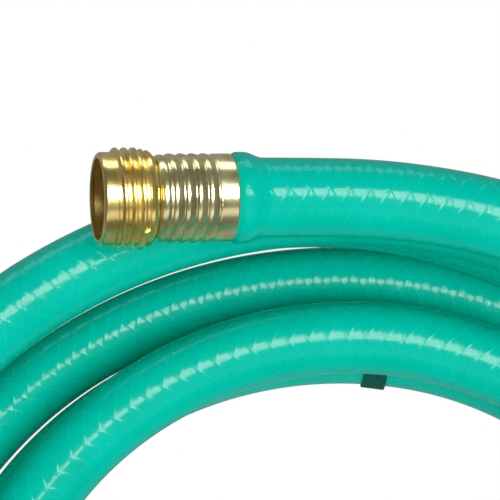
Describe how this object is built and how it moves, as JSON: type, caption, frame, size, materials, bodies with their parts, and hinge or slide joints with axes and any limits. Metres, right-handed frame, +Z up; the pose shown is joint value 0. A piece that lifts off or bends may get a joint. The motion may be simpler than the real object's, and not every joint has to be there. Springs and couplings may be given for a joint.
{
  "type": "garden hose",
  "caption": "Loose coil of reinforced vinyl garden hose with a crimped brass male thread coupling on one end and a swivel nut coupling on the other.",
  "frame": {"origin": "on the surface the coil lies on, under the middle of the whole object", "axes": "+Z up through the coil; the male coupling lies on the +Y side and points to -X, the female coupling on the -Y side and also points to -X"},
  "size_m": [0.36, 0.3681, 0.1061],
  "materials": {
    "hose_vinyl": "glossy teal vinyl with a faint crossed braid print-through",
    "tie_strap": "matte flat strap",
    "braid_yarn": "white polyester yarn",
    "hose_liner": "smooth vinyl liner",
    "ferrule_brass": "pale bright brass, crimped",
    "thread_brass": "yellow bright brass, rolled",
    "washer_rubber": "matte black rubber"
  },
  "bodies": {
    "hose": {"hose_coil": "hose_vinyl", "coil_tie": "tie_strap", "male_end_cover": "hose_vinyl", "male_end_reinforcement": "braid_yarn", "male_end_liner": "hose_liner", "female_end_cover": "hose_vinyl", "female_end_reinforcement": "braid_yarn", "female_end_liner": "hose_liner", "male_ferrule": "ferrule_brass", "male_stem": "thread_brass", "male_thread_shell": "thread_brass", "female_ferrule": "ferrule_brass", "female_stem": "thread_brass"},
    "swivel": {"swivel_nut": "thread_brass", "hose_washer": "washer_rubber"}
  },
  "joints": [
    {"name": "swivel_nut_spin", "type": "hinge", "parent": "hose", "child": "swivel", "pos_m": [-0.14316, -0.1404, 0.01635], "axis": [-0.9069, 0.4109, 0.0935], "continuous": true}
  ]
}
